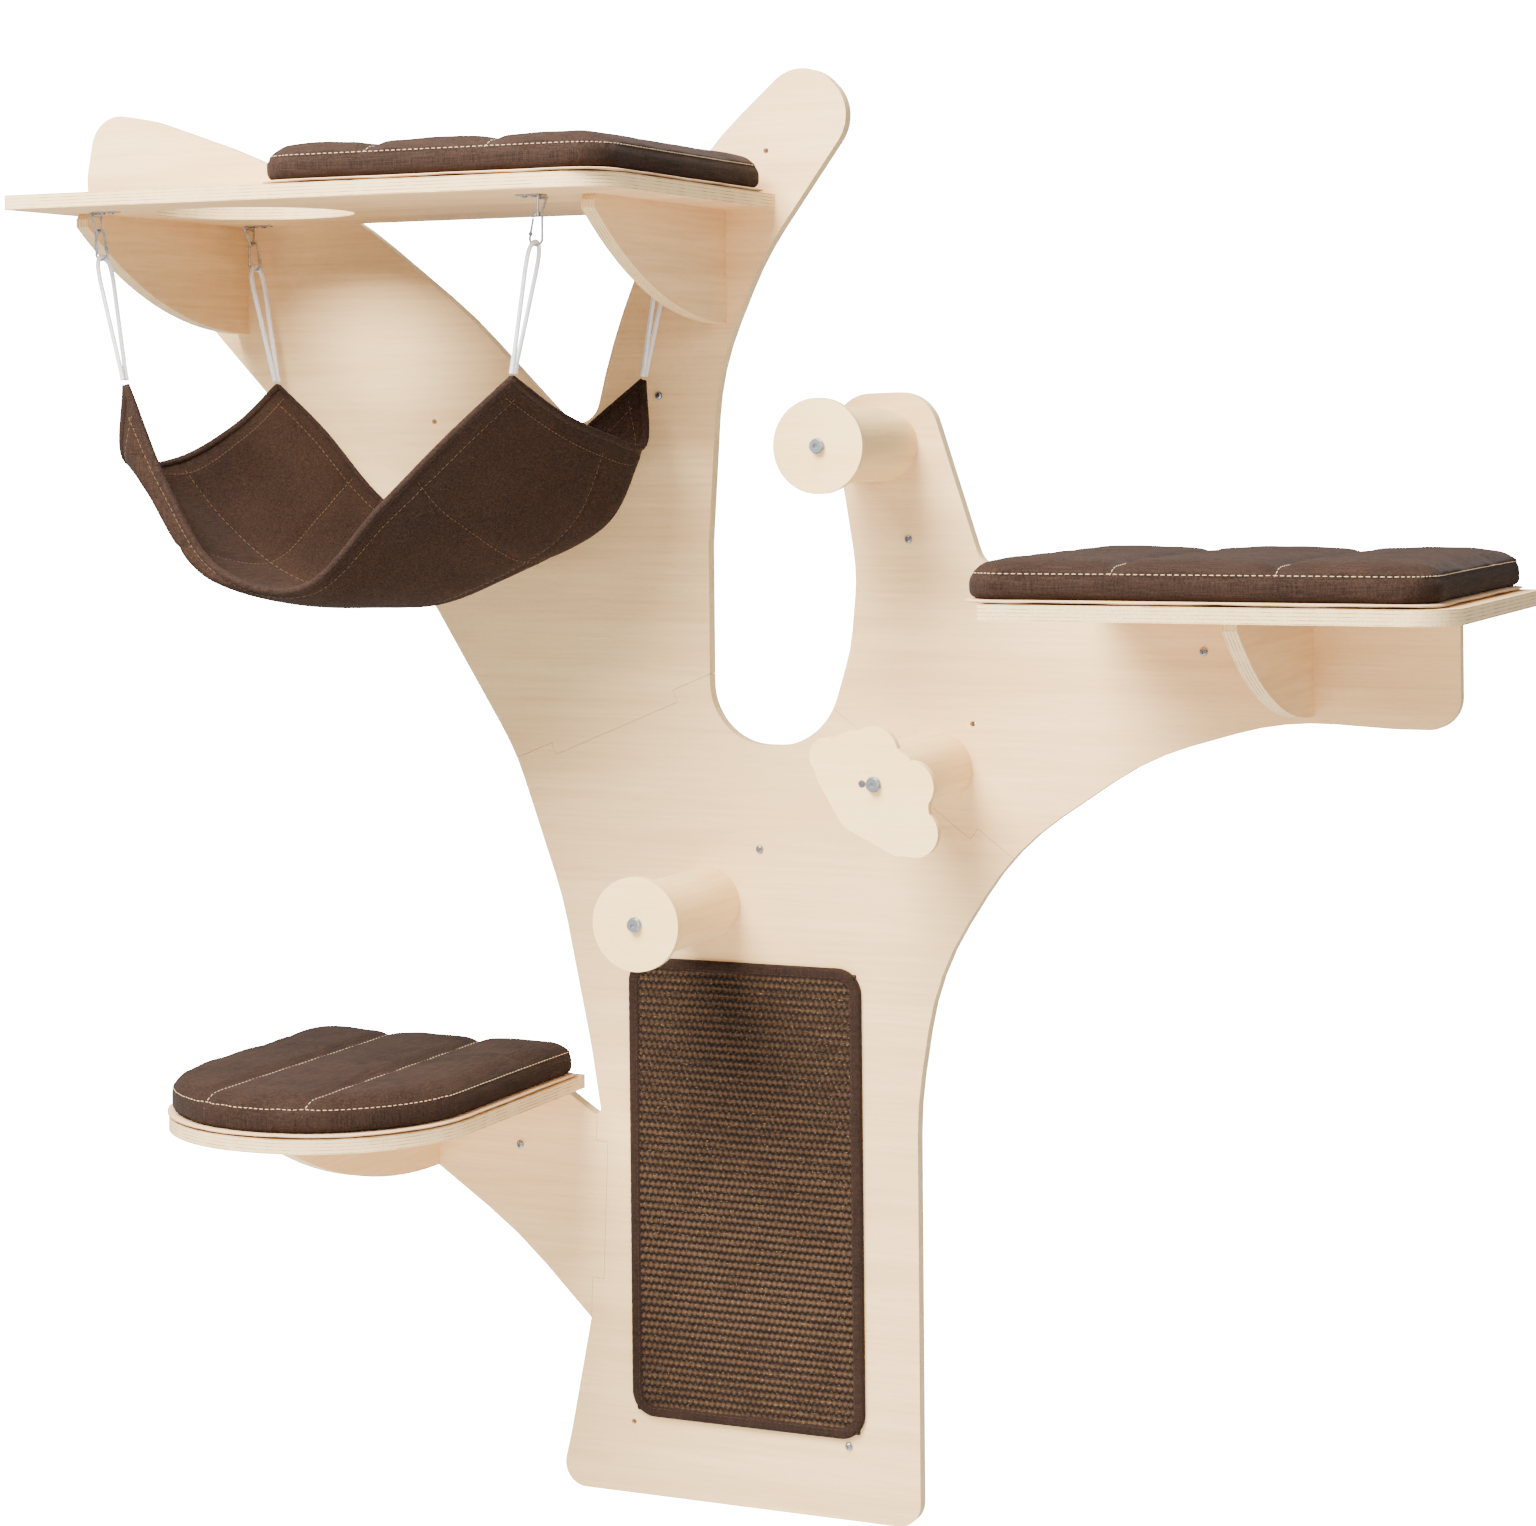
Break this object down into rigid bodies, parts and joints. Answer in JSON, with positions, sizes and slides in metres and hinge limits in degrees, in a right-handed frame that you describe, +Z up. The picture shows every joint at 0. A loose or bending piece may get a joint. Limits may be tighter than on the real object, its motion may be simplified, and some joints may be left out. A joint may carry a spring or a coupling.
{
  "type": "wall-mounted cat tree",
  "caption": "Wall cat climbing frame: plywood tree with cushioned shelves, rope-hung hammock, round step pegs and a sisal scratching mat.",
  "frame": {"origin": "on the wall plane behind the centre of the scratching mat", "axes": "+X to the right along the wall, +Y into the wall, +Z up"},
  "size_m": [1.6964, 0.481, 1.5467],
  "materials": {
    "birch_ply": "sanded birch plywood, matt clear oil",
    "peg_wood": "turned birch, sanded",
    "cushion_fabric": "linen-look woven upholstery, stitched",
    "pad_fabric": "quilted beige underside",
    "hammock_fabric": "heavy woven fabric, stitched seams",
    "sisal": "coarse ribbed sisal weave",
    "binding": "sewn cloth edge binding",
    "rope": "braided white cord",
    "zinc_steel": "blue zinc plate"
  },
  "bodies": {
    "wall_tree": {"trunk_panel": "birch_ply", "upper_panel": "birch_ply", "right_panel": "birch_ply", "left_panel": "birch_ply", "top_shelf": "birch_ply", "right_shelf": "birch_ply", "left_shelf": "birch_ply", "top_bracket_left": "birch_ply", "top_bracket_right": "birch_ply", "right_bracket": "birch_ply", "left_bracket": "birch_ply", "cap_high": "birch_ply", "cap_cloud": "birch_ply", "cap_low": "birch_ply", "peg_high": "peg_wood", "peg_middle": "peg_wood", "peg_low": "peg_wood", "peg_bolts": "zinc_steel", "peg_washers": "zinc_steel", "tee_nuts": "zinc_steel", "cloud_screw": "zinc_steel", "wall_screws": "zinc_steel", "shelf_edge_screws": "zinc_steel", "bracket_screws": "zinc_steel", "shelf_top_screws": "zinc_steel", "hanger_screws": "zinc_steel", "scratch_mat": "sisal", "mat_binding": "binding", "hanger_front_left": "zinc_steel", "hanger_front_right": "zinc_steel", "hanger_rear_left": "zinc_steel", "hanger_rear_right": "zinc_steel"},
    "sling_front_left": {"ring_front_left": "zinc_steel", "snap_front_left": "zinc_steel", "rope_front_left": "rope"},
    "gate_front_left_body": {"gate_front_left": "zinc_steel"},
    "sling_front_right": {"ring_front_right": "zinc_steel", "snap_front_right": "zinc_steel", "rope_front_right": "rope"},
    "gate_front_right_body": {"gate_front_right": "zinc_steel"},
    "sling_rear_left": {"ring_rear_left": "zinc_steel", "snap_rear_left": "zinc_steel", "rope_rear_left": "rope"},
    "gate_rear_left_body": {"gate_rear_left": "zinc_steel"},
    "sling_rear_right": {"ring_rear_right": "zinc_steel", "snap_rear_right": "zinc_steel", "rope_rear_right": "rope"},
    "gate_rear_right_body": {"gate_rear_right": "zinc_steel"},
    "hammock_body": {"hammock": "hammock_fabric"},
    "top_cushion_body": {"top_cushion": "cushion_fabric", "top_cushion_pad": "pad_fabric"},
    "right_cushion_body": {"right_cushion": "cushion_fabric", "right_cushion_pad": "pad_fabric"},
    "left_cushion_body": {"left_cushion": "cushion_fabric", "left_cushion_pad": "pad_fabric"}
  },
  "joints": [
    {"name": "front_left_swing", "type": "hinge", "parent": "wall_tree", "child": "sling_front_left", "pos_m": [-0.595, -0.346, 1.0582], "axis": [0, 1, 0], "range_deg": [-8, 8]},
    {"name": "front_right_swing", "type": "hinge", "parent": "wall_tree", "child": "sling_front_right", "pos_m": [-0.063, -0.346, 1.0582], "axis": [0, 1, 0], "range_deg": [-8, 8]},
    {"name": "rear_left_swing", "type": "hinge", "parent": "wall_tree", "child": "sling_rear_left", "pos_m": [-0.595, -0.046, 1.0582], "axis": [0, 1, 0], "range_deg": [-8, 8]},
    {"name": "rear_right_swing", "type": "hinge", "parent": "wall_tree", "child": "sling_rear_right", "pos_m": [-0.063, -0.046, 1.0582], "axis": [0, 1, 0], "range_deg": [-8, 8]},
    {"name": "hammock_level", "type": "hinge", "parent": "sling_front_left", "child": "hammock_body", "pos_m": [-0.5593, -0.346, 0.8826], "axis": [0, 1, 0], "range_deg": [-12, 12]},
    {"name": "front_left_gate", "type": "hinge", "parent": "sling_front_left", "child": "gate_front_left_body", "pos_m": [-0.5814, -0.346, 1.0214], "axis": [0, -1, 0], "range_deg": [0, 20], "stiffness_Nm_per_rad": 0.004, "springref_deg": -2.86},
    {"name": "front_right_gate", "type": "hinge", "parent": "sling_front_right", "child": "gate_front_right_body", "pos_m": [-0.0766, -0.346, 1.0214], "axis": [0, 1, 0], "range_deg": [0, 20], "stiffness_Nm_per_rad": 0.004, "springref_deg": -2.86},
    {"name": "rear_left_gate", "type": "hinge", "parent": "sling_rear_left", "child": "gate_rear_left_body", "pos_m": [-0.5814, -0.046, 1.0214], "axis": [0, -1, 0], "range_deg": [0, 20], "stiffness_Nm_per_rad": 0.004, "springref_deg": -2.86},
    {"name": "rear_right_gate", "type": "hinge", "parent": "sling_rear_right", "child": "gate_rear_right_body", "pos_m": [-0.0766, -0.046, 1.0214], "axis": [0, 1, 0], "range_deg": [0, 20], "stiffness_Nm_per_rad": 0.004, "springref_deg": -2.86},
    {"name": "top_cushion_lift", "type": "slide", "parent": "wall_tree", "child": "top_cushion_body", "axis": [0, 0, 1], "range_m": [0, 0.08]},
    {"name": "right_cushion_lift", "type": "slide", "parent": "wall_tree", "child": "right_cushion_body", "axis": [0, 0, 1], "range_m": [0, 0.08]},
    {"name": "left_cushion_lift", "type": "slide", "parent": "wall_tree", "child": "left_cushion_body", "axis": [0, 0, 1], "range_m": [0, 0.08]}
  ],
  "couplings": [
    {"joint": "front_right_swing", "follows": "front_left_swing", "ratio": 1},
    {"joint": "rear_left_swing", "follows": "front_left_swing", "ratio": 1},
    {"joint": "rear_right_swing", "follows": "front_left_swing", "ratio": 1},
    {"joint": "hammock_level", "follows": "front_left_swing", "ratio": -1.155}
  ]
}
